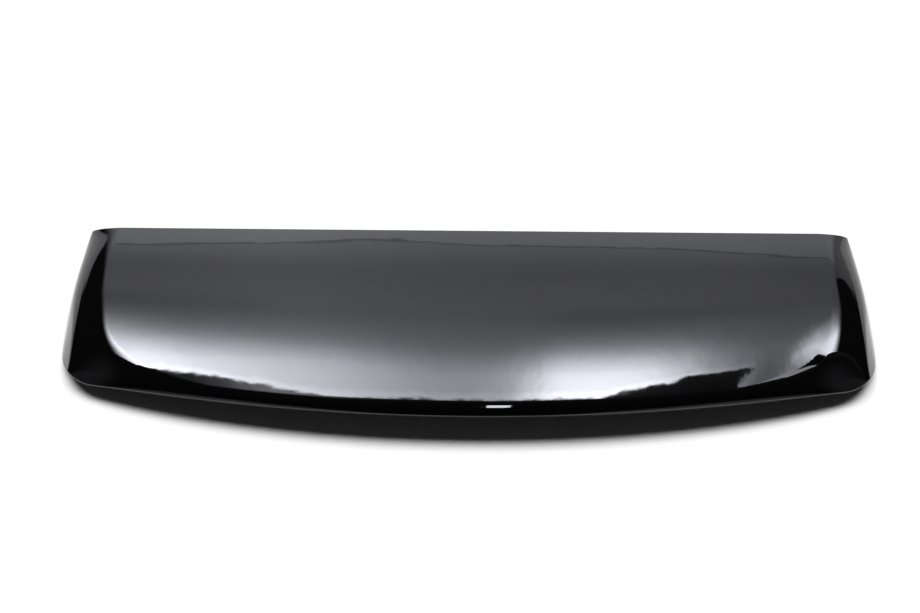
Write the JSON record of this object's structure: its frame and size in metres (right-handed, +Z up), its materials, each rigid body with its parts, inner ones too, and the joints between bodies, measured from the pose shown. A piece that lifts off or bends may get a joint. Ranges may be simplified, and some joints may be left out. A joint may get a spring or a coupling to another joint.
{
  "type": "rear roof spoiler for a car",
  "caption": "Gloss black rear roof spoiler: one moulded shell with a climbing top panel, rounded flanks and a rolled trailing lip.",
  "frame": {"origin": "middle of the spoiler's box, on the plane of the flanks' rims that it stands on", "axes": "+X across the car to the right seen from behind it, +Y towards the leading edge at the roof, +Z up"},
  "size_m": [1.2619, 0.3299, 0.0709],
  "materials": {
    "gloss_black": "polished gloss black outside, plain moulded black underneath"
  },
  "bodies": {
    "root": {"spoiler_shell": "gloss_black"}
  },
  "joints": []
}
